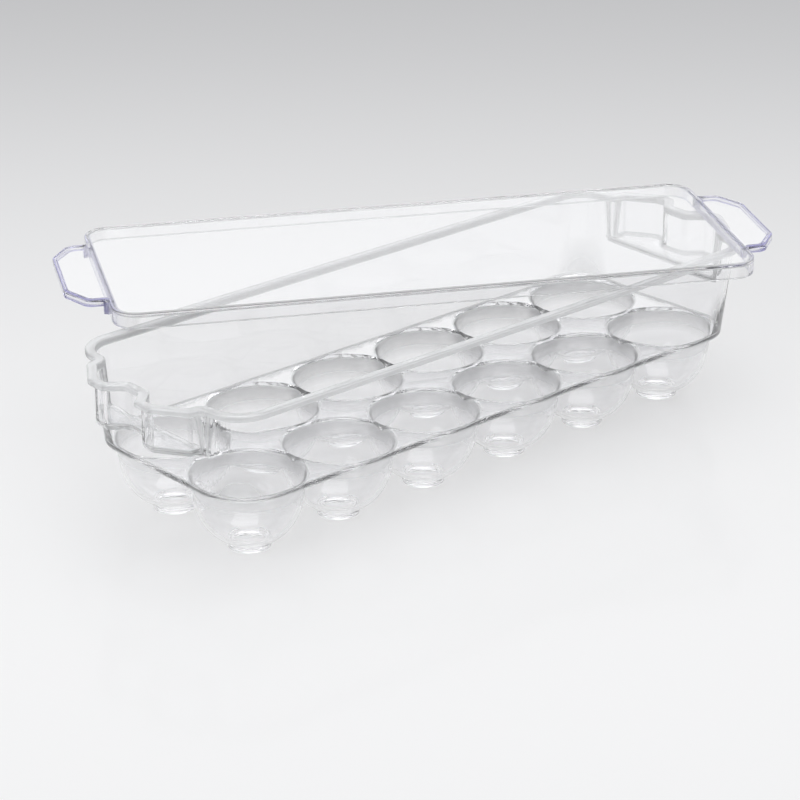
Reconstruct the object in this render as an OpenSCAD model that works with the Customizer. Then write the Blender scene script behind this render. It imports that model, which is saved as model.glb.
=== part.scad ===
// Egg keeper: a clear moulded tray with rows of round cups, and a loose clear lid.
// The lid lies askew across the tray's rim and lifts straight up off it.
// Millimetres, +X along the tray, +Z up, and z = 0 under the cups' foot rings.

/* [Cups] */
// Cups in each row
cups_long = 6; // [4:1:8]
// Rows of cups
cup_rows = 2; // [2:1:3]
// Distance between neighbouring cups of a row
pitch_x = 48.5; // [47:0.5:56]
// Distance between the rows
pitch_y = 50.3; // [48:0.1:58]
// Inner radius of a cup's mouth, at the deck's upper face
mouth_r = 25.5; // [24:0.1:27]
// Height of the bevel round a cup's mouth
mouth_bevel = 2.4; // [1:0.1:4]
// Inner radius of a cup's round bowl
bowl_r = 21.4; // [19:0.1:22]
// Slope of a cup's side above its round bowl, in degrees from upright
bowl_draft = 8; // [3:0.5:12]
// Height of the deck's upper face
deck_z = 33; // [29:0.5:40]
// Outer radius of the foot ring under a cup
foot_r = 9.2; // [7:0.1:12]
// Width of the foot ring's rim
foot_w = 1.6; // [1:0.1:3]
// Height of the bowl's underside above the surface
foot_lift = 0.8; // [0.4:0.1:1.5]

/* [Tray walls] */
// Thickness of the walls, deck and cups
wall = 1.8; // [1.2:0.1:2.5]
// Distance from the outermost cup's centre to the outside of an end wall, at the deck
end_reach = 26.7; // [26:0.1:34]
// Distance from the outermost row's centre to the outside of a side wall, at the deck
side_reach = 26.2; // [26:0.1:34]
// Corner radius of the walls at the deck
base_corner_r = 21; // [12:0.5:24]
// Corner radius of the walls at the rim
top_corner_r = 15; // [10:0.5:18]
// How far the walls lean outwards from the deck to the rim
wall_lean = 1.3; // [0.4:0.1:3]
// Bevel of the walls' lower outer edge
base_bevel = 1.2; // [0.5:0.1:1.6]

/* [Rim] */
// Height of the rim's underside
rim_z = 70.2; // [60:0.1:90]
// Thickness of the rim
rim_t = 2.8; // [1.5:0.1:5]
// Width of the rim outside the walls
rim_w = 2.6; // [1.5:0.1:5]

/* [End handles] */
// How far a handle stands out from the end wall, at the rim
handle_out = 15.8; // [10:0.1:25]
// Half the width of a handle
handle_half = 35; // [28:0.5:35.5]
// Length of the slanted corners along the tray
handle_slant_x = 10.5; // [5:0.5:13]
// Length of the slanted corners across the tray
handle_slant_y = 15; // [8:0.5:15]
// Depth of the finger dip in the middle of a handle
dip_depth = 7.3; // [3:0.1:8]
// Half the width of the finger dip where it starts
dip_half = 11; // [8:0.5:11]
// Half the width of the finger dip's flat bottom
dip_flat = 4.5; // [2.5:0.5:5]
// Height of the handle's underside
handle_z = 51.2; // [42:0.1:58]

/* [Lid] */
// Half the length of the lid's body, without its tabs
lid_body_x = 143; // [135:0.5:150]
// Half the width of the lid
lid_half = 54.9; // [52:0.1:56]
// Corner radius of the lid's body
lid_corner_r = 11; // [6:0.5:16]
// How far a tab stands out from the lid's body
tab_out = 17.4; // [10:0.1:22]
// Half the width of a tab
tab_half = 34; // [26:0.5:36]
// Length of the tab's slanted corners along the lid
tab_slant_x = 8; // [4:0.5:12]
// Length of the tab's slanted corners across the lid
tab_slant_y = 13.5; // [6:0.5:18]
// Thickness of the lid's top plate
plate_t = 2; // [1.5:0.1:3]
// Depth of the skirt round the lid's body, from the top face
skirt_depth = 7.5; // [5:0.1:12]
// Depth of the turned-down edge round a tab, from the top face
tab_edge_depth = 3.8; // [2.5:0.1:4.5]
// Thickness of the skirt and of the tab's edge
skirt_t = 1.8; // [1.2:0.1:2.5]

/* [Lid at rest] */
// Turn of the lid on the tray, in degrees
lid_turn = -28.7; // [-40:0.1:-15]
// Place of the lid's centre along the tray, from the tray's centre
lid_x = 23.5; // [10:0.5:35]
// Place of the lid's centre across the tray, from the tray's centre
lid_y = 32.6; // [20:0.1:40]
// Clearance between the lid's skirt and the tray's rim
lid_gap = 0.2; // [0.1:0.05:0.5]

/* [Hidden] */

// Steps of an outline's rounded corners, in degrees
arc_step = 10;
// Overlap of a cut with the space that it opens into
cut_over = 0.02;
// Height of the thin plates that a leaning wall is stretched between
sheet_t = 0.01;

// The tray's cups and walls
first_x = -pitch_x * (cups_long - 1) / 2;
first_y = -pitch_y * (cup_rows - 1) / 2;
base_x = -first_x + end_reach;
base_y = -first_y + side_reach;
deck_under = deck_z - wall;
bowl_z = foot_lift + wall + bowl_r;

// The rim and the handles
rim_top = rim_z + rim_t;
rim_x = base_x + wall_lean + rim_w;
rim_y = base_y + wall_lean + rim_w;
rim_corner_r = top_corner_r + rim_w;
handle_corner_r = 4;
dip_corner_r = 2.6;
handle_root = base_x - 6;

// The lid's corners
tab_corner_r = 5;
tab_x = lid_body_x + tab_out;
tab_root = lid_body_x - 6;

// The whole object stands with the middle of its outer box at the origin
lid_points = [for (s = [-1, 1]) each [for (p = tab_outline(0, s)) turned(p)],
              for (p = box_outline(lid_body_x, lid_half, lid_corner_r)) turned(p)];
tray_points = [for (s = [-1, 1]) each handle_outline(0, s), each box_outline(rim_x, rim_y, rim_corner_r)];
all_x = [for (p = concat(lid_points, tray_points)) p[0]];
all_y = [for (p = concat(lid_points, tray_points)) p[1]];
mid_x = (min(all_x) + max(all_x)) / 2;
mid_y = (min(all_y) + max(all_y)) / 2;

// A lid's point as it lies on the tray
function turned(p) = [lid_x + p[0] * cos(lid_turn) - p[1] * sin(lid_turn),
                      lid_y + p[0] * sin(lid_turn) + p[1] * cos(lid_turn)];

// Direction of a vector
function unit(v) = v / norm(v);

// Points of the arc that rounds the corner b between a and c, each given as [x, y, radius]
function corner_arc(a, b, c) =
    let (at = [b[0], b[1]],
         back = unit([a[0], a[1]] - at),
         on = unit([c[0], c[1]] - at),
         half = acos(back * on) / 2,
         start = at + back * b[2] / tan(half),
         mid = at + unit(back + on) * b[2] / sin(half),
         from = atan2(start[1] - mid[1], start[0] - mid[0]),
         way = back[0] * on[1] - back[1] * on[0] < 0 ? 1 : -1,
         turn = 180 - 2 * half,
         steps = max(2, ceil(turn / arc_step)))
    [for (i = [0:steps]) mid + b[2] * [cos(from + way * turn * i / steps), sin(from + way * turn * i / steps)]];

// An outline with its corners rounded
function rounded(corners) =
    let (n = len(corners))
    [for (i = [0:n - 1]) each corner_arc(corners[(i + n - 1) % n], corners[i], corners[(i + 1) % n])];

// A rectangle round the origin with rounded corners
function box_outline(half_x, half_y, r) =
    rounded([[half_x, -half_y, r], [half_x, half_y, r], [-half_x, half_y, r], [-half_x, -half_y, r]]);

// Outline of a handle at the tray's end s, with its dip, drawn in by inset
function handle_outline(inset, s) =
    let (end = rim_x + handle_out - inset,
         side = handle_half - inset,
         dip = end - dip_depth,
         half = [[handle_root, side, 0.1], [end - handle_slant_x, side, handle_corner_r],
                 [end, side + inset / 2 - handle_slant_y, handle_corner_r],
                 [end, dip_half + inset / 2, dip_corner_r], [dip, dip_flat + inset / 2, dip_corner_r]],
         corners = concat([for (p = half) [s * p[0], s * p[1], p[2]]],
                          [for (i = [len(half) - 1:-1:0]) [s * half[i][0], -s * half[i][1], half[i][2]]]))
    rounded([for (i = [len(corners) - 1:-1:0]) corners[i]]);

// Outline of a tab at the lid's end s, drawn in by inset
function tab_outline(inset, s) =
    let (end = tab_x - inset,
         side = tab_half - inset,
         half = [[tab_root, side, 0.1], [end - tab_slant_x, side, tab_corner_r],
                 [end, side + inset / 2 - tab_slant_y, tab_corner_r]],
         corners = concat([for (p = half) [s * p[0], s * p[1], p[2]]],
                          [for (i = [len(half) - 1:-1:0]) [s * half[i][0], -s * half[i][1], half[i][2]]]))
    rounded([for (i = [len(corners) - 1:-1:0]) corners[i]]);

// Share of the way from the deck to the rim at height z
function rise(z) = (z - deck_z) / (rim_z - deck_z);

// One thin plate of the walls' block, at height z
module wall_plate(z, inset) {
    lean = wall_lean * rise(z);
    r = base_corner_r + (top_corner_r - base_corner_r) * rise(z);
    translate([0, 0, z])
        linear_extrude(sheet_t)
            polygon(box_outline(base_x + lean - inset, base_y + lean - inset, r - inset));
}

// The block that the tray's walls enclose, outside
module outer_block() {
    hull() {
        wall_plate(deck_under, base_bevel);
        wall_plate(deck_under + base_bevel, 0);
        wall_plate(rim_z, 0);
    }
}

// The space inside the tray's walls, above the deck
module inner_block() {
    hull() {
        wall_plate(deck_z, wall);
        wall_plate(rim_top + 1, wall);
    }
}

// Places its child at each cup's centre
module each_cup() {
    for (i = [0:cups_long - 1], j = [0:cup_rows - 1])
        translate([first_x + i * pitch_x, first_y + j * pitch_y, 0]) children();
}

// Half profile of a cup grown by skin, up to the height top: a round bowl under a leaning side
module cup_profile(skin, top) {
    r = bowl_r + skin;
    join_z = bowl_z - r * sin(bowl_draft);
    join_r = r * cos(bowl_draft);
    intersection() {
        translate([0, bowl_z]) circle(r, $fn = 96);
        translate([0, bowl_z - r]) square([r, join_z - bowl_z + r]);
    }
    polygon([[0, join_z], [join_r, join_z], [join_r + (top - join_z) * tan(bowl_draft), top], [0, top]]);
}

// Outside of one cup with its foot
module cup_body() {
    rotate_extrude($fn = 96) cup_profile(wall, deck_z - wall / 2);
    cylinder(r = foot_r, h = foot_lift + wall, $fn = 96);
}

// Inside of one cup with its bevelled mouth
module cup_hollow() {
    rotate_extrude($fn = 96) {
        cup_profile(0, deck_z - mouth_bevel + cut_over);
        neck_r = bowl_r * cos(bowl_draft)
            + (deck_z - mouth_bevel - bowl_z + bowl_r * sin(bowl_draft)) * tan(bowl_draft);
        polygon([[0, deck_z - mouth_bevel], [neck_r, deck_z - mouth_bevel], [mouth_r, deck_z],
                 [mouth_r, deck_z + cut_over], [0, deck_z + cut_over]]);
    }
}

// The cups' hollows, kept inside the walls
module cup_hollows() {
    intersection() {
        each_cup() cup_hollow();
        linear_extrude(deck_z + 1) polygon(box_outline(base_x - wall, base_y - wall, base_corner_r - wall));
    }
}

// The handles' outer blocks under the rim
module handle_blocks() {
    for (s = [-1, 1])
        translate([0, 0, handle_z])
            linear_extrude(rim_z - handle_z) polygon(handle_outline(rim_w, s));
}

// The pockets inside the handles, open to the tray
module handle_pockets() {
    for (s = [-1, 1])
        translate([0, 0, handle_z + wall])
            linear_extrude(rim_top + 1 - handle_z) polygon(handle_outline(rim_w + wall, s));
}

// The rim's plate, before the tray's inside is cut from it
module rim_plate() {
    translate([0, 0, rim_z])
        linear_extrude(rim_t) {
            polygon(box_outline(rim_x, rim_y, rim_corner_r));
            for (s = [-1, 1]) polygon(handle_outline(0, s));
        }
}

// The tray: deck, cups, walls, handles and rim in one moulding
module tray() {
    color([0.90, 0.93, 0.96, 0.55])
        translate([-mid_x, -mid_y, 0])
            difference() {
                union() {
                    outer_block();
                    each_cup() cup_body();
                    handle_blocks();
                    rim_plate();
                }
                inner_block();
                cup_hollows();
                handle_pockets();
                each_cup()
                    translate([0, 0, -1]) cylinder(r = foot_r - foot_w, h = 1 + foot_lift, $fn = 96);
            }
}

// The lid's plate with its turned-down edges, flat round its own centre
module lid_form() {
    translate([0, 0, skirt_depth - plate_t])
        linear_extrude(plate_t) {
            polygon(box_outline(lid_body_x, lid_half, lid_corner_r));
            for (s = [-1, 1]) polygon(tab_outline(0, s));
        }
    linear_extrude(skirt_depth - plate_t + cut_over)
        difference() {
            polygon(box_outline(lid_body_x, lid_half, lid_corner_r));
            polygon(box_outline(lid_body_x - skirt_t, lid_half - skirt_t, lid_corner_r - skirt_t));
        }
    translate([0, 0, skirt_depth - tab_edge_depth])
        linear_extrude(tab_edge_depth - plate_t + cut_over)
            difference() {
                for (s = [-1, 1]) polygon(tab_outline(0, s));
                for (s = [-1, 1]) polygon(tab_outline(skirt_t, s));
                square([2 * (lid_body_x - skirt_t), 2 * lid_half], center = true);
            }
}

// The lid, lying askew on the rim
module lid() {
    color([0.86, 0.88, 0.97, 0.55])
        translate([lid_x - mid_x, lid_y - mid_y, rim_top + lid_gap])
            rotate([0, 0, lid_turn])
                lid_form();
}

tray();
lid();
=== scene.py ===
# %% [markdown]
# An egg keeper in clear plastic. The real one is two injection mouldings: a tray with two
# rows of round cups, and a flat lid with a skirt that lies loose and askew on the tray's rim.
# This lesson models both as closed shells with a true wall thickness, because clear plastic
# only looks right when light passes through an inner and an outer face.
# The frame gives each piece its place, so the first cell loads it.

# %% Load the frame
from math import acos, atan2, cos, pi, radians, sin, tan
import bmesh
import bpy
from mathutils import Matrix, Vector


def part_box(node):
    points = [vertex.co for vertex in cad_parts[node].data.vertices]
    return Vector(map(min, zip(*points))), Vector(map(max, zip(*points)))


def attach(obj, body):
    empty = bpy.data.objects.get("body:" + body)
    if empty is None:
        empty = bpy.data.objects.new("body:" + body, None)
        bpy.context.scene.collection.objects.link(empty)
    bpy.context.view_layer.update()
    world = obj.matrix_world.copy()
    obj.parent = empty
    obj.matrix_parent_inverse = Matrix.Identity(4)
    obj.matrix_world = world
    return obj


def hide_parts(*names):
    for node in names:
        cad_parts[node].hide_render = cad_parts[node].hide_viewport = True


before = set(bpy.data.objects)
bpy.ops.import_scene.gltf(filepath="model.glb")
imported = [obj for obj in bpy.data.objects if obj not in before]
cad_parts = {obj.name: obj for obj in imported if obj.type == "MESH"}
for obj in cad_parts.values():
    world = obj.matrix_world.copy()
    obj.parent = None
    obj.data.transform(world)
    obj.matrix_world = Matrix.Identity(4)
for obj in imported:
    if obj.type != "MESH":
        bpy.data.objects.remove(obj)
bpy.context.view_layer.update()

MM = 0.001
tray_low, tray_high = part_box("tray")
lid_low, lid_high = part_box("lid")
tray_mid = (tray_low + tray_high) / 2
print("tray from", [round(v, 4) for v in tray_low], "to", [round(v, 4) for v in tray_high])
print("lid from", [round(v, 4) for v in lid_low], "to", [round(v, 4) for v in lid_high])

# %% [markdown]
# The sizes come first. They are in millimetres, measured from the middle of the tray with
# z = 0 under the cups' feet, as on a mould maker's drawing. The meshes are made at this scale
# and turned into metres at the very end.

# %% Sizes of the cups
PITCH_X, PITCH_Y = 48.5, 50.3
COLUMNS = 6
WALL = 1.8
BOWL_R = 21.4
BOWL_Z = 24.0
DRAFT = radians(8)
DECK_Z = 33.0
MOUTH_R = 25.5
LIP_R = 3.0
FOOT_R, FOOT_W, FOOT_LIFT = 9.2, 1.6, 0.8
print("cups are", 2 * BOWL_R, "mm across inside")

# %% Sizes of the walls, the rim and the handles
RIM_TOP = tray_high.z / MM
RIM_T, RIM_W = 2.8, 2.6
RIM_Z = RIM_TOP - RIM_T
LEAN = 1.3
BASE_X = PITCH_X * (COLUMNS - 1) / 2 + 26.7
BASE_Y = PITCH_Y / 2 + 26.2
BASE_CORNER_R, TOP_CORNER_R = 21.0, 15.0
BASE_BEVEL = 1.2
HANDLE_END = (tray_high.x - tray_low.x) / 2 / MM
HANDLE_HALF = 35.0
HANDLE_SLANT_X, HANDLE_SLANT_Y = 10.5, 15.0
DIP_DEPTH, DIP_HALF, DIP_FLAT = 7.3, 11.0, 4.5
HANDLE_Z = 51.2
print("the rim is", round(RIM_TOP, 2), "mm high and a handle ends at", round(HANDLE_END, 2))

# %% [markdown]
# Both mouldings have outlines made of straight lines and rounded corners. An outline is kept
# as a row of segments, each a function from 0..1 to a point, so that any point of a wall can
# be named by its segment and its share along it. The same name then gives the matching point
# on a smaller, larger or differently rounded outline, and rings of points line up.

# %% Segments of an outline
def line(a, b):
    """Segment along a straight line."""
    return lambda share: a.lerp(b, share)


def arc(before, corner, after, radius):
    """(start, end, segment) of the arc that rounds a corner."""
    back = (before - corner).normalized()
    on = (after - corner).normalized()
    half = acos(max(-1, min(1, back.dot(on)))) / 2
    start = corner + back * radius / tan(half)
    end = corner + on * radius / tan(half)
    middle = corner + (back + on).normalized() * radius / sin(half)
    first = atan2(start.y - middle.y, start.x - middle.x)
    turn = pi - 2 * half
    if back.x * on.y - back.y * on.x > 0:
        turn = -turn

    def point(share):
        angle = first + turn * share
        return middle + radius * Vector((cos(angle), sin(angle)))

    return start, end, point


def rounded(corners, radii):
    """Segments of an open path: its inner corners are rounded, its two ends are not."""
    corners = [Vector(c) for c in corners]
    segments, here = [], corners[0]
    for i, radius in enumerate(radii, start=1):
        start, end, point = arc(corners[i - 1], corners[i], corners[i + 1], radius)
        segments += [line(here, start), point]
        here = end
    return segments + [line(here, corners[-1])]


print("outline helpers ready")

# %% [markdown]
# Only a quarter of the tray is modelled, and two mirrors make the rest. Its outline runs
# from the middle of the end to the middle of the side. Where the walls have no handle, the
# same thirteen segments lie along the plain rounded rectangle. Drawn inwards, the round at
# the handle's root grows while the straight beside it hardly does, so its radius is held to
# what fits. Otherwise the outline would fold back on itself.

# %% Outlines of a quarter of the tray
SEGMENTS = 13
ROOT = 9


def wall_size(z, skin):
    """Half length, half width and corner radius of the walls at height z, skin inside their face."""
    rise = (min(z, RIM_Z) - DECK_Z) / (RIM_Z - DECK_Z)
    radius = BASE_CORNER_R + (TOP_CORNER_R - BASE_CORNER_R) * rise
    return BASE_X + LEAN * rise - skin, BASE_Y + LEAN * rise - skin, radius - skin


def handle_path(z, inset, skin=None):
    """Outline with the handle, drawn in by inset from the rim's edge. skin sets the walls apart from it."""
    x, y, radius = wall_size(z, inset - RIM_W if skin is None else skin)
    end = HANDLE_END - inset
    side = HANDLE_HALF - inset
    dip = end - DIP_DEPTH
    bulge = max(1.2, 4 - inset / 2)
    bend = atan2(HANDLE_SLANT_Y, HANDLE_SLANT_X) / 2
    shoulder = HANDLE_END - HANDLE_SLANT_X - inset * tan(bend)
    root_r = min(y - radius - side - 0.1, shoulder - x - bulge * tan(bend) - 0.1)
    corners = [(dip, 0), (dip, DIP_FLAT + inset / 2), (end, DIP_HALF + inset / 2),
               (end, HANDLE_HALF - inset / 2 - HANDLE_SLANT_Y), (shoulder, side),
               (x, side), (x, y), (0, y)]
    return rounded(corners, [2.6 + inset / 2, max(1, 2.6 - inset / 3), bulge, bulge, root_r, radius])


def end_marks():
    """Where the handle's segments start along the end wall, as shares of its straight half."""
    path = handle_path(HANDLE_Z + WALL, RIM_W + WALL)
    reach = path[ROOT + 1](1).y
    marks = [0.0]
    for segment in path[:ROOT + 1]:
        marks.append(max(segment(1).y / reach, marks[-1] + 0.012))
    return [mark / marks[-1] * 0.995 for mark in marks] + [1.0]


MARKS = end_marks()


def box_path(z, skin, push=0.0):
    """The plain rounded rectangle, with its end part moved outwards by push."""
    x, y, radius = wall_size(z, skin)
    straight = y - radius
    ends = [Vector((x + push, mark * straight)) for mark in MARKS]
    ends[-1].x = x
    segments = [line(a, b) for a, b in zip(ends, ends[1:])]
    corner = arc(Vector((x, 0)), Vector((x, y)), Vector((0, y)), radius)
    return segments + [corner[2], line(corner[1], Vector((0, y)))]


print("segments:", len(box_path(DECK_Z, 0)), "and", len(handle_path(RIM_Z, 0)))

# %% [markdown]
# A cup is round, so its half profile is drawn from the pole outwards and spun a full turn.
# The profile runs on past the cup as flat deck. Spinning keeps the rings of faces clean,
# which clear plastic needs: any kink in a face would bend the view through it. Beside each
# rounded edge one more point lies a hair's breadth away on the flat part. It holds the
# smooth shading there, so that the flat face stays flat right up to the edge.

# %% Profiles of a cup
SPIN_STEPS = 80
DECK_REACH = 38.0
HOLD = 0.3


def arc_points(middle_r, middle_z, radius, first, last, steps):
    """Points along an arc in the profile's plane, angles in radians."""
    angles = [first + (last - first) * i / steps for i in range(steps + 1)]
    return [(middle_r + radius * cos(a), middle_z + radius * sin(a)) for a in angles]


def inner_profile():
    """Pole, round bowl, leaning side, rounded lip and deck, on the cup's inside."""
    bowl = arc_points(0, BOWL_Z, BOWL_R, -pi / 2, -DRAFT, 16)
    lip = arc_points(MOUTH_R, DECK_Z - LIP_R, LIP_R, pi - DRAFT, pi / 2, 7)
    return bowl + lip + [(MOUTH_R + HOLD, DECK_Z), (29, DECK_Z), (DECK_REACH, DECK_Z)]


def outer_profile():
    """Recess, foot ring, bowl, leaning side and the deck's underside."""
    skin = BOWL_R + WALL
    under = DECK_Z - WALL
    meet = -acos((FOOT_R + 0.6) / skin)
    bowl = arc_points(0, BOWL_Z, skin, meet, -DRAFT, 14)
    side_r = skin * cos(DRAFT) + (under - 0.35 - BOWL_Z + skin * sin(DRAFT)) * tan(DRAFT)
    inner = FOOT_R - FOOT_W
    foot = [(0, FOOT_LIFT), (inner - 0.4, FOOT_LIFT), (inner - 0.1, FOOT_LIFT - 0.15),
            (inner, FOOT_LIFT - 0.4), (inner + 0.1, 0.2), (inner + 0.35, 0.0),
            (FOOT_R - 0.4, 0.0), (FOOT_R - 0.1, 0.12), (FOOT_R, 0.4), (FOOT_R, 2.3), (FOOT_R + 0.15, 2.7)]
    return foot + bowl + [(side_r, under - 0.35), (side_r + 0.15, under - 0.1), (side_r + 0.45, under),
                          (side_r + 0.45 + HOLD, under), (29, under), (DECK_REACH, under)]


def spun(profile):
    """A bmesh of a half profile spun a full turn round Z."""
    bm = bmesh.new()
    verts = [bm.verts.new((r, 0, z)) for r, z in profile]
    edges = [bm.edges.new(pair) for pair in zip(verts, verts[1:])]
    bmesh.ops.spin(bm, geom=verts + edges, cent=(0, 0, 0), axis=(0, 0, 1), angle=2 * pi,
                   steps=SPIN_STEPS, use_merge=True)
    bmesh.ops.remove_doubles(bm, verts=bm.verts, dist=0.002)
    return bm


print("profiles of", len(inner_profile()), "and", len(outer_profile()), "points")

# %% [markdown]
# Cups stand closer together than their mouths are wide, so each spun cup is cut by upright
# planes at the borders of its own cell. Neighbours then share a border, and the cut leaves
# the ridge where two mouths run together. The corner cup is cut by a fan of planes that
# follow the rounded corner of the walls.

# %% Cut a cup to its cell
CORNER_CUTS = 18


def cut(bm, point, normal):
    """Takes away what lies beyond a plane."""
    geom = bm.verts[:] + bm.edges[:] + bm.faces[:]
    bmesh.ops.bisect_plane(bm, geom=geom, dist=0.001, plane_co=(*point, 0), plane_no=(*normal, 0),
                           clear_outer=True)


def cell(profile, column, skin):
    """One cup of the first quarter, cut to its cell and to the walls' outline less skin."""
    bm = spun(profile)
    centre = Vector((PITCH_X * (column + 0.5), PITCH_Y / 2))
    half_x, half_y, radius = wall_size(DECK_Z, skin)
    cut(bm, (-PITCH_X / 2, 0), (-1, 0))
    cut(bm, (0, -PITCH_Y / 2), (0, -1))
    cut(bm, (0, half_y - centre.y), (0, 1))
    if column < COLUMNS // 2 - 1:
        cut(bm, (PITCH_X / 2, 0), (1, 0))
    else:
        middle = Vector((half_x, half_y)) - Vector((radius, radius)) - centre
        for i in range(CORNER_CUTS + 1):
            angle = pi / 2 * i / CORNER_CUTS
            way = Vector((cos(angle), sin(angle)))
            cut(bm, middle + radius * way, way)
    bmesh.ops.translate(bm, verts=bm.verts, vec=(*centre, 0))
    return bm


def quarter_deck(profile, skin):
    """The cups of a quarter, joined along their borders."""
    whole = bmesh.new()
    for column in range(COLUMNS // 2):
        bm = cell(profile, column, skin)
        mesh = bpy.data.meshes.new("cell")
        bm.to_mesh(mesh)
        bm.free()
        whole.from_mesh(mesh)
        bpy.data.meshes.remove(mesh)
    bmesh.ops.remove_doubles(whole, verts=whole.verts, dist=0.003)
    return whole


print("cells of", PITCH_X, "by", PITCH_Y, "mm")

# %% [markdown]
# The walls grow out of the deck's border. Its edges are extruded ring by ring: up the inner
# face, out over the floor of the handle's pocket, over the rim, down the outer face and in
# under the base. Each new ring finds its place from the segment and share that its points
# carry. Two columns of heights are given, because on the ends the ring has to travel over
# the pocket's floor while on the sides it only climbs. For the same reason the plain walls
# keep a skin of their own there. If they followed the handle's inset, each round of the
# pocket would press a groove into them.

# %% Stations of the wall's rings
FILLET = 0.9
POCKET_R = 1.6
EDGE_R = 0.8
BULB_R = 0.9
UNDER_R = 3.0
SIDE_STEP = 0.35


def round_steps(steps):
    """(share across, share up) of a quarter round, from its start to its end."""
    return [(1 - cos(pi / 2 * i / steps), sin(pi / 2 * i / steps)) for i in range(1, steps + 1)]


def inner_stations():
    """Rings up the inside: (height on the ends, height on the sides, share of the deck's dip, outline)."""
    rings = []
    for up, along in round_steps(3):
        z = DECK_Z + FILLET * up
        rings.append((z, z, 1 - up, box_path(DECK_Z, WALL + FILLET * (1 - along))))
    z = DECK_Z + FILLET + HOLD
    rings.append((z, z, 0, box_path(z, WALL)))
    floor = HANDLE_Z + WALL
    for z in (floor - EDGE_R - HOLD, floor - EDGE_R):
        rings.append((z, z, 0, box_path(z, WALL)))
    for out, up in round_steps(3):
        z = floor - EDGE_R + EDGE_R * up
        rings.append((z, z, 0, box_path(z, WALL, EDGE_R * out)))
    inset = RIM_W + WALL
    side = floor
    for up, along in [(0.0, 0.0)] + round_steps(4):
        side += SIDE_STEP
        pocket = handle_path(side, inset + POCKET_R * (1 - along), WALL)
        rings.append((floor + POCKET_R * up, side, 0, pocket))
    top = RIM_TOP
    side += SIDE_STEP
    rings.append((floor + POCKET_R + HOLD, side, 0, handle_path(side, inset)))
    for z in (top - EDGE_R - HOLD, top - EDGE_R):
        rings.append((z, z, 0, handle_path(top, inset)))
    for back, up in round_steps(3):
        z = top - EDGE_R + EDGE_R * up
        rings.append((z, z, 0, handle_path(top, inset - EDGE_R * back)))
    rings.append((top, top, 0, handle_path(top, inset - EDGE_R - HOLD)))
    return rings


def outer_stations():
    """Rings over the rim and down the outside."""
    rings = []
    top = RIM_TOP
    rings.append((top, top, 0, handle_path(top, BULB_R + HOLD)))
    for down, out in [(0.0, 0.0)] + round_steps(4):
        z = top - BULB_R * down
        rings.append((z, z, 0, handle_path(top, BULB_R * (1 - out))))
    for back, down in [(0.0, 0.0)] + round_steps(4):
        z = RIM_Z + BULB_R * (1 - down)
        rings.append((z, z, 0, handle_path(RIM_Z, BULB_R * back)))
    for down, along in [(0.0, 0.0)] + round_steps(3):
        z = RIM_Z - EDGE_R * down
        rings.append((z, z, 0, handle_path(z, RIM_W - EDGE_R * (1 - along))))
    side = HANDLE_Z + UNDER_R
    for z in (RIM_Z - EDGE_R - HOLD, side + HOLD):
        rings.append((z, z, 0, handle_path(z, RIM_W)))
    for back, down in [(0.0, 0.0)] + round_steps(5):
        rings.append((HANDLE_Z + UNDER_R * (1 - down), side, 0, handle_path(side, RIM_W + UNDER_R * back, 0)))
        side -= SIDE_STEP
    for down, along in [(0.0, 0.0)] + round_steps(3):
        z = HANDLE_Z - FILLET * down
        side -= 0.3
        rings.append((z, min(side, z), 0, box_path(z, 0, FILLET * (1 - along))))
    low = DECK_Z - WALL
    for z in (HANDLE_Z - FILLET - HOLD, low + BASE_BEVEL + HOLD):
        rings.append((z, z, 0, box_path(z, 0)))
    for back, down in [(0.0, 0.0)] + round_steps(4):
        z = low + BASE_BEVEL * (1 - down)
        rings.append((z, z, 0, box_path(DECK_Z, BASE_BEVEL * back)))
    return rings


STATIONS = inner_stations() + outer_stations()
print("rings round the walls:", len(STATIONS))

# %% [markdown]
# Before the first extrusion the deck's border gets extra points on the end wall, so that the
# handle's small arcs, which are drawn from these points further up, stay round.

# %% Name the border's points
ARC_POINTS = 5
ON_PLANE = 0.01


def wall_border(bm):
    """Border edges that aren't on the two planes of symmetry."""
    def off_planes(edge):
        a, b = (v.co for v in edge.verts)
        return (a.x + b.x) / 2 > ON_PLANE and (a.y + b.y) / 2 > ON_PLANE
    return [edge for edge in bm.edges if edge.is_boundary and off_planes(edge)]


def add_points(bm, skin):
    """Cuts the border on the end wall where the handle's arcs and lines need points."""
    x, y, radius = wall_size(DECK_Z, skin)
    for start, end in zip(MARKS[:ROOT + 1], MARKS[1:]):
        for i in range(ARC_POINTS):
            height = (start + (end - start) * i / ARC_POINTS) * (y - radius)
            edges = [e for e in wall_border(bm) if min(v.co.x for v in e.verts) > x - 0.01]
            geom = edges + list({v for e in edges for v in e.verts})
            bmesh.ops.bisect_plane(bm, geom=geom, dist=0.08, plane_co=(0, height, 0), plane_no=(0, 1, 0))


def name_points(bm, skin):
    """Writes each border point's segment, share and dip below the deck into layers."""
    layers = [bm.verts.layers.float.new(name) for name in ("segment", "share", "dip")]
    x, y, radius = wall_size(DECK_Z, skin)
    straight_x, straight_y = x - radius, y - radius
    for v in {v for edge in wall_border(bm) for v in edge.verts}:
        if v.co.x > straight_x and v.co.y > straight_y:
            place = (SEGMENTS - 2, atan2(v.co.y - straight_y, v.co.x - straight_x) / (pi / 2))
        elif v.co.x > x - 0.05:
            at = max(0.0, v.co.y / straight_y)
            k = max(i for i in range(SEGMENTS - 2) if MARKS[i] <= at + 1e-6)
            place = (k, min(1.0, max(0.0, (at - MARKS[k]) / (MARKS[k + 1] - MARKS[k]))))
        else:
            place = (SEGMENTS - 1, 1 - v.co.x / straight_x)
        for layer, value in zip(layers, (*place, v.co.z - DECK_Z)):
            v[layer] = value
    return layers


print("each handle segment gets", ARC_POINTS, "points")

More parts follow.
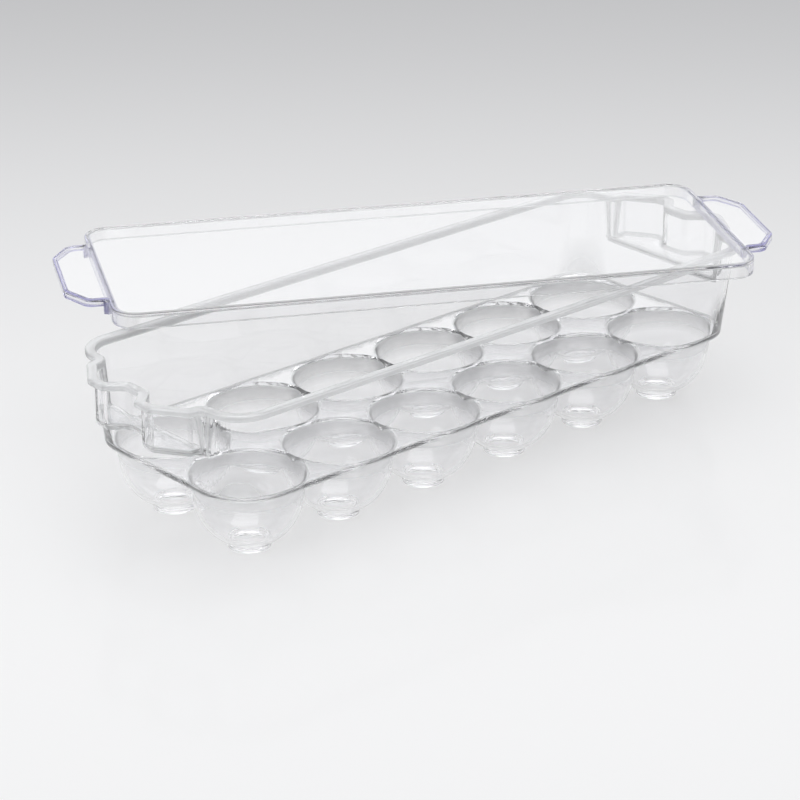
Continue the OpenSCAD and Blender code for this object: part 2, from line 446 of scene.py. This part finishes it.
# %% Grow the walls
def grow(bm, edges, layers, stations, end_segments):
    """Extrudes the edges ring by ring to the stations' outlines, and returns the last edges."""
    segment, share, dip = layers
    for z_end, z_side, keep, path in stations:
        made = bmesh.ops.extrude_edge_only(bm, edges=edges)["geom"]
        edges = [g for g in made if isinstance(g, bmesh.types.BMEdge)]
        for v in (g for g in made if isinstance(g, bmesh.types.BMVert)):
            k = round(v[segment])
            flat = path[k](v[share])
            z = z_end if k <= end_segments else z_side
            v.co = (flat.x, flat.y, z + keep * v[dip])
    return edges


INNER_SKIN = WALL + FILLET
tray = quarter_deck(inner_profile(), INNER_SKIN)
add_points(tray, INNER_SKIN)
names = name_points(tray, INNER_SKIN)
grow(tray, wall_border(tray), names, STATIONS, ROOT)
print("a quarter with its walls has", len(tray.faces), "faces")

# %% [markdown]
# The underside is a second sheet of cups with the outer profile, cut a little inside the last
# ring. Both sheets are mirrored twice and welded, and the narrow strip left between them is
# filled with triangles. The result is one closed shell.

# %% Mirror, join and close the tray
STRIP = 0.3


def mirrored(bm):
    """Mirrors a quarter in X and in Y and welds it along both planes."""
    for axis in (0, 1):
        for v in bm.verts:
            if abs(v.co[axis]) < ON_PLANE:
                v.co[axis] = 0
        copy = bmesh.ops.duplicate(bm, geom=bm.verts[:] + bm.edges[:] + bm.faces[:])["geom"]
        scale = [1, 1, 1]
        scale[axis] = -1
        bmesh.ops.scale(bm, vec=scale, verts=[g for g in copy if isinstance(g, bmesh.types.BMVert)])
        bmesh.ops.remove_doubles(bm, verts=bm.verts, dist=0.002)


def add_bmesh(target, other):
    """Adds another bmesh's faces to target."""
    mesh = bpy.data.meshes.new("part")
    other.to_mesh(mesh)
    other.free()
    target.from_mesh(mesh)
    bpy.data.meshes.remove(mesh)


mirrored(tray)
underside = quarter_deck(outer_profile(), BASE_BEVEL + STRIP)
mirrored(underside)
add_bmesh(tray, underside)
open_edges = [edge for edge in tray.edges if edge.is_boundary]
bmesh.ops.triangle_fill(tray, edges=open_edges, use_beauty=True, normal=(0, 0, -1))
bmesh.ops.recalc_face_normals(tray, faces=tray.faces)
print("open edges before", len(open_edges), "and after", sum(not e.is_manifold for e in tray.edges))
print("volume", round(tray.calc_volume(signed=True) / 1000, 1), "cm3,", len(tray.faces), "faces")

# %% [markdown]
# Where two cups run together the moulding has a fine rounded ridge. A narrow bevel on the
# sharp part of each border gives it the width that catches the light.

# %% Round the ridges
RIDGE = 0.35


def on_border(v, pitch, offset):
    return abs((v.co[0 if pitch == PITCH_X else 1] - offset + pitch / 2) % pitch - pitch / 2) < ON_PLANE


def ridges(bm):
    """Edges on the cups' borders, on the upper face, where the faces meet at an angle."""
    found = []
    for edge in bm.edges:
        if min(v.co.z for v in edge.verts) < DECK_Z - LIP_R or max(v.co.z for v in edge.verts) > DECK_Z:
            continue
        along_y = all(on_border(v, PITCH_X, 0) for v in edge.verts)
        along_x = all(abs(v.co.y) < ON_PLANE for v in edge.verts)
        if (along_x or along_y) and edge.calc_face_angle(0) > radians(12):
            found.append(edge)
    return found


ridge_edges = ridges(tray)
bmesh.ops.bevel(tray, geom=ridge_edges, offset=RIDGE, offset_type="OFFSET", affect="EDGES", segments=2,
                profile=0.5, material=-1, clamp_overlap=True)
print("bevelled", len(ridge_edges), "ridge edges,", sum(not e.is_manifold for e in tray.edges), "open")

# %% [markdown]
# The lid is made the same way, in one quarter. Its outline has a tab at the end. The ring
# starts on the flat top, rolls over the edge and goes down the outside, where the skirt of
# the body is deeper than the turned-down edge of the tab. Under the tab it climbs back to
# the plate, crosses to the body's end and goes round the skirt there. Meanwhile the rings
# have to stay somewhere on the body's own skirt, so they creep up it by a hair each.

# %% Sizes of the lid
LID_X, LID_HALF, LID_CORNER_R = 143.0, 54.9, 11.0
TAB_OUT, TAB_HALF = 17.4, 34.0
TAB_SLANT_X, TAB_SLANT_Y = 8.0, 13.5
TAB_CORNER_R, TAB_ROOT_R = 5.0, 2.0
PLATE_T, SKIRT_T = 2.0, 1.8
SKIRT_DEPTH = (lid_high.z - lid_low.z) / MM
TAB_EDGE_DEPTH = 3.8
LID_TURN = radians(-28.7)
LID_AT = Vector((23.5, 32.6, lid_low.z / MM))
LID_EDGE_R = 0.7
SMALL_R = 0.4
TAB_SEGMENTS = 5
CREEP = 0.05
print("the lid is", round(SKIRT_DEPTH, 2), "mm deep")

# %% Outlines of a quarter of the lid
def tab_path(inset):
    """Outline with the tab, drawn in by inset."""
    x, y, end = LID_X - inset, LID_HALF - inset, LID_X + TAB_OUT - inset
    side = TAB_HALF - inset
    corners = [(end, 0), (end, TAB_HALF - inset / 2 - TAB_SLANT_Y), (end - TAB_SLANT_X, side),
               (x, side), (x, y), (0, y)]
    return rounded(corners, [TAB_CORNER_R, TAB_CORNER_R, TAB_ROOT_R + inset, LID_CORNER_R - inset])


def body_path(inset):
    """The body's outline without the tab, with the same segments."""
    x, y, radius = LID_X - inset, LID_HALF - inset, LID_CORNER_R - inset
    full = tab_path(inset)
    marks = [0.0] + [segment(1).y for segment in full[:TAB_SEGMENTS]]
    marks[TAB_SEGMENTS] = marks[TAB_SEGMENTS - 1] + 0.4
    ends = [Vector((x, mark)) for mark in marks + [full[TAB_SEGMENTS](1).y, y - radius]]
    segments = [line(a, b) for a, b in zip(ends, ends[1:])]
    return segments + full[-2:]


print("segments:", len(tab_path(0)), "and", len(body_path(0)))

# %% Stations of the lid
def lid_stations():
    """Rings from the top face's border to the plate's underside."""
    deep, shallow, under = 0.0, SKIRT_DEPTH - TAB_EDGE_DEPTH, SKIRT_DEPTH - PLATE_T
    rings = [(SKIRT_DEPTH, SKIRT_DEPTH, 0, tab_path(LID_EDGE_R))]
    for down, out in round_steps(4):
        z = SKIRT_DEPTH - LID_EDGE_R * down
        rings.append((z, z, 0, tab_path(LID_EDGE_R * (1 - out))))
    z = SKIRT_DEPTH - LID_EDGE_R - HOLD
    rings.append((z, z, 0, tab_path(0)))
    for hold in (HOLD, 0):
        rings.append((shallow + SMALL_R + hold, deep + SMALL_R + hold, 0, tab_path(0)))
    for back, down in round_steps(3):
        rise = SMALL_R * (1 - down)
        rings.append((shallow + rise, deep + rise, 0, tab_path(SMALL_R * back)))
    inner = SKIRT_T - SMALL_R
    rings.append((shallow, deep, 0, tab_path(inner)))
    for up, along in round_steps(3):
        rings.append((shallow + SMALL_R * up, deep + SMALL_R * up, 0, tab_path(inner + SMALL_R * along)))
    creep = deep + SMALL_R
    rings.append((under - SMALL_R, creep + CREEP, 0, tab_path(SKIRT_T)))
    for _, up in round_steps(2):
        creep += CREEP
        rings.append((under - SMALL_R * (1 - up), creep + CREEP, 0, tab_path(SKIRT_T)))
    creep += CREEP
    held = tab_path(SKIRT_T + HOLD)[:TAB_SEGMENTS] + tab_path(SKIRT_T)[TAB_SEGMENTS:]
    rings.append((under, creep + CREEP, 0, held))
    return rings, creep


def skirt_stations(creep):
    """Rings of the skirt under the tab: (height under the tab, height on the body, 0, inset there)."""
    deep, under = 0.0, SKIRT_DEPTH - PLATE_T
    rows = [(under, -HOLD), (under, 0.0), (under - SMALL_R, 0.0), (deep + SMALL_R, 0.0), (deep, SMALL_R),
            (deep, SKIRT_T - SMALL_R), (deep + SMALL_R, SKIRT_T)]
    rings = []
    for z, inset in rows:
        creep += CREEP
        mixed = body_path(inset)[:TAB_SEGMENTS] + tab_path(SKIRT_T)[TAB_SEGMENTS:]
        rings.append((z, creep, 0, mixed))
    both = under - SMALL_R
    for z, inset in ((both - HOLD, SKIRT_T), (both, SKIRT_T), (under - 0.12, SKIRT_T + 0.12),
                     (under, SKIRT_T + SMALL_R), (under, SKIRT_T + SMALL_R + HOLD)):
        rings.append((z, z, 0, body_path(inset)))
    return rings


first_rings, creep_z = lid_stations()
LID_RINGS = first_rings + skirt_stations(creep_z)
print("rings of the lid:", len(LID_RINGS))

# %% Build the lid
ARC_STEPS = 8


def start_ring(path, arcs):
    """A bmesh with an open chain of points along a quarter outline, each with its name."""
    bm = bmesh.new()
    layers = [bm.verts.layers.float.new(name) for name in ("segment", "share", "dip")]
    chain = []
    for k, segment in enumerate(path):
        shares = [i / ARC_STEPS for i in range(ARC_STEPS)] if k in arcs else [0, 0.03, 0.5, 0.97]
        for share in shares + [1] * (k == len(path) - 1):
            flat = segment(share)
            v = bm.verts.new((flat.x, flat.y, SKIRT_DEPTH))
            v[layers[0]], v[layers[1]], v[layers[2]] = k, share, 0
            chain.append(v)
    edges = [bm.edges.new(pair) for pair in zip(chain, chain[1:])]
    return bm, edges, layers


def fill_flat(bm, z, up):
    """Fills the open loop at height z with triangles."""
    loop = [e for e in bm.edges if len(e.link_faces) < 2 and all(abs(v.co.z - z) < ON_PLANE for v in e.verts)]
    bmesh.ops.triangle_fill(bm, edges=loop, use_beauty=True, normal=(0, 0, up))


lid, lid_edges, lid_layers = start_ring(tab_path(LID_EDGE_R + HOLD), (1, 3, 5, 7))
grow(lid, lid_edges, lid_layers, LID_RINGS, TAB_SEGMENTS - 1)
mirrored(lid)
fill_flat(lid, SKIRT_DEPTH, 1)
fill_flat(lid, SKIRT_DEPTH - PLATE_T, -1)
bmesh.ops.recalc_face_normals(lid, faces=lid.faces)
print("lid:", len(lid.faces), "faces,", sum(not e.is_manifold for e in lid.edges), "open edges,",
      round(lid.calc_volume(signed=True) / 1000, 1), "cm3")

# %% [markdown]
# The shells become objects in metres, each placed in its own mesh so that the object stays
# at the origin. Before that each point notes how sharply the surface bends there, because
# clear plastic looks pale and milky along its edges, where light that runs inside the
# walls comes out. The finish reads this note as an attribute and paints that light in as a white glow.

# %% From bmesh to object
SHARP = radians(42)
EDGE_FROM, EDGE_TO = radians(9), radians(22)


def note_edges(bm):
    """Writes into a layer how sharply the surface bends at each point, from 0 to 1."""
    layer = bm.verts.layers.float.new("edge")
    for v in bm.verts:
        bend = max(edge.calc_face_angle(0) for edge in v.link_edges)
        v[layer] = min(1.0, max(0.0, (bend - EDGE_FROM) / (EDGE_TO - EDGE_FROM)))


def finish_piece(name, bm, matrix):
    """Places the mesh in metres and makes the object."""
    note_edges(bm)
    bmesh.ops.transform(bm, matrix=matrix, verts=bm.verts)
    mesh = bpy.data.meshes.new(name)
    for face in bm.faces:
        face.smooth = True
    bm.to_mesh(mesh)
    bm.free()
    for layer in ("segment", "share", "dip"):
        if layer in mesh.attributes:
            mesh.attributes.remove(mesh.attributes[layer])
    mesh.set_sharp_from_angle(angle=SHARP)
    piece = bpy.data.objects.new(name, mesh)
    bpy.context.scene.collection.objects.link(piece)
    return piece


to_metres = Matrix.Diagonal((MM, MM, MM, 1))
tray_place = Matrix.Translation((tray_mid.x, tray_mid.y, 0)) @ to_metres
lid_place = tray_place @ Matrix.Translation(LID_AT) @ Matrix.Rotation(LID_TURN, 4, "Z")
tray_piece = finish_piece("clear_tray", tray, tray_place)
lid_piece = finish_piece("clear_lid", lid, lid_place)
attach(tray_piece, "tray")
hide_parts("tray")
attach(lid_piece, "lid")
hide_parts("lid")
print("two pieces made")

# %% [markdown]
# Shader maths reads best as plain Python. A small class wraps an output socket and gives it
# the operators that are used, and one method adds any other node.

# %% A small shader helper
class Wire:
    """An output socket that Python's operators work on."""

    def __init__(self, shader, socket):
        self.shader = shader
        self.socket = socket

    def maths(self, operation, a, b):
        return self.shader.node("ShaderNodeMath", {"operation": operation}, {0: a, 1: b})

    def __add__(self, other):
        return self.maths("ADD", self, other)

    def __mul__(self, other):
        return self.maths("MULTIPLY", self, other)

    __radd__ = __add__
    __rmul__ = __mul__

    def ramp(self, low, high):
        """0 below low, 1 above high, smooth between."""
        return self.shader.node("ShaderNodeMapRange", {"interpolation_type": "SMOOTHSTEP"},
                                {"Value": self, "From Min": low, "From Max": high})


class Shader:
    """A material's node tree."""

    def __init__(self, name):
        self.material = bpy.data.materials.new(name)
        self.material.use_nodes = True
        self.tree = self.material.node_tree
        self.tree.nodes.clear()

    def node(self, kind, settings, sockets, output=0):
        """Adds a node: its settings first, then the values or links of its sockets."""
        made = self.tree.nodes.new(kind)
        for key, value in settings.items():
            setattr(made, key, value)
        for key, value in sockets.items():
            if isinstance(value, Wire):
                self.tree.links.new(value.socket, made.inputs[key])
            else:
                made.inputs[key].default_value = value
        return Wire(self, made.outputs[output]) if made.outputs else made

    def surface(self, wire):
        self.node("ShaderNodeOutputMaterial", {}, {"Surface": wire})
        return self.material


print("shader helper ready")

# %% [markdown]
# Clear plastic is almost colourless. What shows is its gloss, the bending of light in thick
# edges, a trace of haze from the mould and, on the lid, a violet cast on the edges of the
# tabs. Real refraction through the modelled walls gives the first two. The haze is a
# roughness that changes slowly over the surface, and a very faint waviness stops the flat
# walls from looking like glass. The edges of a real moulding glow with light that runs
# inside its walls. Tracing that takes too many bounces, so a painted glow, a white mixed in,
# stands in for it on the noted edges and on the thick rim. How much is a choice.

# %% Clear plastic
IOR = 1.5
CLEAR = (0.985, 0.985, 0.99, 1)
# EDGE_WHITE is the colour of the painted glow on edges and rim.
EDGE_WHITE = (0.95, 0.955, 0.96, 1)
EDGE_VIOLET = (0.60, 0.58, 0.90, 1)
# Shares of the painted glow: a white mixed in to stand in for light that runs inside the walls and comes out
# at edges and rim.
TRAY_PAINTED_GLOW, RIM_PAINTED_GLOW, LID_PAINTED_GLOW = 0.6, 0.5, 0.65


def clear_plastic(name, painted_glow, violet):
    """Clear moulded plastic. painted_glow gives the share of painted white glow at each place, standing in
    for light that runs inside the walls; violet says where it is tinted.
    """
    shader = Shader(name)
    place = shader.node("ShaderNodeTexCoord", {}, {}, "Object")
    edge = shader.node("ShaderNodeAttribute", {"attribute_name": "edge"}, {}, "Fac")
    haze = shader.node("ShaderNodeTexNoise", {}, {"Vector": place, "Scale": 28.0, "Detail": 3.0})
    flow = shader.node("ShaderNodeTexNoise", {}, {"Vector": place, "Scale": 60.0, "Detail": 1.0})
    bump = shader.node("ShaderNodeBump", {}, {"Strength": 0.04, "Distance": 0.0006, "Height": flow})
    rough = haze.ramp(0.45, 0.75) * 0.03
    tint = violet(shader, place)
    core = shader.node("ShaderNodeMix", {"data_type": "RGBA"},
                       {"Factor": edge * tint, 6: CLEAR, 7: EDGE_VIOLET}, 2)
    pale = shader.node("ShaderNodeMix", {"data_type": "RGBA"},
                       {"Factor": tint, 6: EDGE_WHITE, 7: EDGE_VIOLET}, 2)
    clear = shader.node("ShaderNodeBsdfPrincipled", {},
                        {"Base Color": core, "Roughness": rough + 0.012, "IOR": IOR,
                         "Transmission Weight": 1.0, "Normal": bump})
    # Painted glow: a white layer mixed in where light that runs inside the walls would come out.
    glow_layer = shader.node("ShaderNodeBsdfPrincipled", {},
                        {"Base Color": pale, "Roughness": rough + 0.12, "IOR": IOR})
    share = painted_glow(shader, place, edge)
    return shader.surface(shader.node("ShaderNodeMixShader", {}, {0: share, 1: clear, 2: glow_layer}))


def tray_painted_glow(shader, place, edge):
    """Share of the painted glow on the tray: its edges above the feet, and its thick rim, painted white as it
    looks from most sides.
    """
    height = shader.node("ShaderNodeSeparateXYZ", {}, {"Vector": place}, "Z")
    return shader.node("ShaderNodeMath", {"operation": "MAXIMUM"},
                       {0: edge * TRAY_PAINTED_GLOW * height.ramp(4 * MM, 12 * MM),
                        1: height.ramp((RIM_Z - 0.5) * MM, RIM_Z * MM) * RIM_PAINTED_GLOW})


def lid_painted_glow(shader, place, edge):
    """Share of the painted glow on the lid: only its edges."""
    return edge * LID_PAINTED_GLOW


def no_tint(shader, place):
    """The tray has no tint."""
    return 0.0


def tab_ends(shader, place):
    """On the lid: colour towards the tabs, measured along the lid as it lies."""
    turned = shader.node("ShaderNodeMapping", {"vector_type": "TEXTURE"},
                         {"Vector": place, "Location": tuple(lid_place.translation),
                          "Rotation": (0, 0, LID_TURN)})
    along = shader.node("ShaderNodeSeparateXYZ", {}, {"Vector": turned}, "X")
    distance = shader.node("ShaderNodeMath", {"operation": "ABSOLUTE"}, {0: along})
    return distance.ramp((LID_X - 6) * MM, (LID_X + 4) * MM)


tray_piece.data.materials.append(clear_plastic("tray plastic", tray_painted_glow, no_tint))
lid_piece.data.materials.append(clear_plastic("lid plastic", lid_painted_glow, tab_ends))
print("materials:", [m.name for m in bpy.data.materials])

# %% [markdown]
# The floor is a white acrylic sheet, pale and slightly glossy. Its colour is painted grey away
# from the camera, a painted shade that stands in for the light falling off there. Part of its
# tone comes from itself wherever the camera, a gloss or the clear plastic looks at it, which
# keeps the background pale without more light on the keeper. The rest is lit by the lamps. The
# keeper's soft shadow stays, but it is lighter than the lamps alone would make it.

# %% Floor
FLOOR_HALF = 6.0
NEAR_WHITE = (0.93, 0.93, 0.935, 1)
# Grey of the painted shade on the floor far from the camera.
FAR_PAINTED_SHADE = (0.53, 0.53, 0.54, 1)
OWN_TONE = 0.62
AWAY = (0.6651, 0.7468, 0.0)


def floor_material():
    shader = Shader("white acrylic floor")
    place = shader.node("ShaderNodeTexCoord", {}, {}, "Object")
    back = shader.node("ShaderNodeVectorMath", {"operation": "DOT_PRODUCT"},
                       {0: place, 1: AWAY}, "Value")
    # Painted shade: the floor's colour goes from white near the camera to grey away from it.
    shade = shader.node("ShaderNodeMix", {"data_type": "RGBA"},
                        {"Factor": back.ramp(-0.25, 1.0), 6: NEAR_WHITE, 7: FAR_PAINTED_SHADE}, 2)
    matt = shader.node("ShaderNodeBsdfDiffuse", {}, {"Color": shade})
    gloss = shader.node("ShaderNodeBsdfPrincipled", {}, {"Base Color": shade, "Roughness": 0.12, "IOR": 1.35})
    lit = shader.node("ShaderNodeMixShader", {}, {0: back.ramp(0.1, 0.6), 1: gloss, 2: matt})
    own = shader.node("ShaderNodeEmission", {}, {"Color": shade})
    rays = [shader.node("ShaderNodeLightPath", {}, {}, name)
            for name in ("Is Camera Ray", "Is Glossy Ray", "Is Transmission Ray")]
    seen = shader.node("ShaderNodeClamp", {}, {"Value": rays[0] + rays[1] + rays[2]})
    return shader.surface(shader.node("ShaderNodeMixShader", {}, {0: seen * OWN_TONE, 1: lit, 2: own}))


def make_floor():
    bm = bmesh.new()
    bmesh.ops.create_grid(bm, x_segments=1, y_segments=1, size=FLOOR_HALF)
    mesh = bpy.data.meshes.new("floor")
    bm.to_mesh(mesh)
    bm.free()
    floor = bpy.data.objects.new("floor", mesh)
    bpy.context.scene.collection.objects.link(floor)
    mesh.materials.append(floor_material())
    return floor


make_floor()
print("floor of", 2 * FLOOR_HALF, "m")

# %% [markdown]
# The studio round the keeper is an even pale grey. The clear plastic mirrors it and shows it
# bent, so it is bright for those rays, and dimmer for the rays that leave a matt surface.

# %% Studio
SEEN_STRENGTH, MATT_STRENGTH = 0.92, 0.6
world = bpy.data.worlds.new("studio")
bpy.context.scene.world = world
world.use_nodes = True
nodes, links = world.node_tree.nodes, world.node_tree.links
sky = nodes["Background"]
sky.inputs["Color"].default_value = (0.83, 0.84, 0.855, 1)
path = nodes.new("ShaderNodeLightPath")
strength = nodes.new("ShaderNodeMapRange")
strength.inputs["To Min"].default_value = SEEN_STRENGTH
strength.inputs["To Max"].default_value = MATT_STRENGTH
links.new(path.outputs["Is Diffuse Ray"], strength.inputs["Value"])
links.new(strength.outputs["Result"], sky.inputs["Strength"])
print("world strength", SEEN_STRENGTH, "and", MATT_STRENGTH)

# %% [markdown]
# Three large soft boxes light the object: one overhead, one low behind it and a weak one at
# its left. The one behind is what the flat lid mirrors, and that gives it a white veil.

# %% Soft boxes
def soft_box(name, at, target, size, power):
    """A rectangular lamp that faces the target."""
    lamp = bpy.data.lights.new(name, "AREA")
    lamp.shape = "RECTANGLE"
    lamp.size, lamp.size_y = size
    lamp.energy = power
    obj = bpy.data.objects.new(name, lamp)
    obj.location = at
    obj.rotation_euler = (Vector(target) - Vector(at)).to_track_quat("-Z", "Y").to_euler()
    bpy.context.scene.collection.objects.link(obj)


soft_box("overhead", (0.1, -0.1, 1.6), (0, 0, 0), (1.8, 1.4), 12)
soft_box("behind", (1.15, 1.29, 0.74), (0, 0, 0.07), (2.0, 0.8), 2.4)
soft_box("left", (-1.5, -0.2, 0.8), (0, 0, 0.03), (0.9, 1.0), 3)
print("three soft boxes")

# %% [markdown]
# The camera stands where the photographer's stood. Its direction, distance and focal length
# come from fitting the tray's feet, deck corners and rim lines to the picture.

# %% Camera
AZIMUTH, ELEVATION = -0.72766, 0.40477
FOCAL_PX, OFF_X, OFF_Y = 3039.76, 25.591, -46.198
DISTANCE = 1.352778
PICTURE = 800
SENSOR_MM = 36

ahead = Vector((-sin(AZIMUTH) * cos(ELEVATION), cos(AZIMUTH) * cos(ELEVATION), -sin(ELEVATION)))
right = Vector((cos(AZIMUTH), sin(AZIMUTH), 0))
upward = right.cross(ahead)
centre = Vector((tray_mid.x, tray_mid.y, 0))
camera_data = bpy.data.cameras.new("camera")
camera_data.sensor_width = SENSOR_MM
camera_data.lens = FOCAL_PX / PICTURE * camera_data.sensor_width
camera = bpy.data.objects.new("camera", camera_data)
camera.location = centre - (OFF_X * right + OFF_Y * upward) * DISTANCE / FOCAL_PX - DISTANCE * ahead
camera.rotation_euler = ahead.to_track_quat("-Z", "Y").to_euler()
bpy.context.scene.collection.objects.link(camera)
bpy.context.scene.camera = camera
bpy.context.scene.view_settings.view_transform = "Standard"
bpy.context.scene.cycles.max_bounces = 32
bpy.context.scene.cycles.transmission_bounces = 32
bpy.context.scene.cycles.glossy_bounces = 16
print("camera at", [round(v, 3) for v in camera.location])

# %% End
bpy.context.view_layer.update()
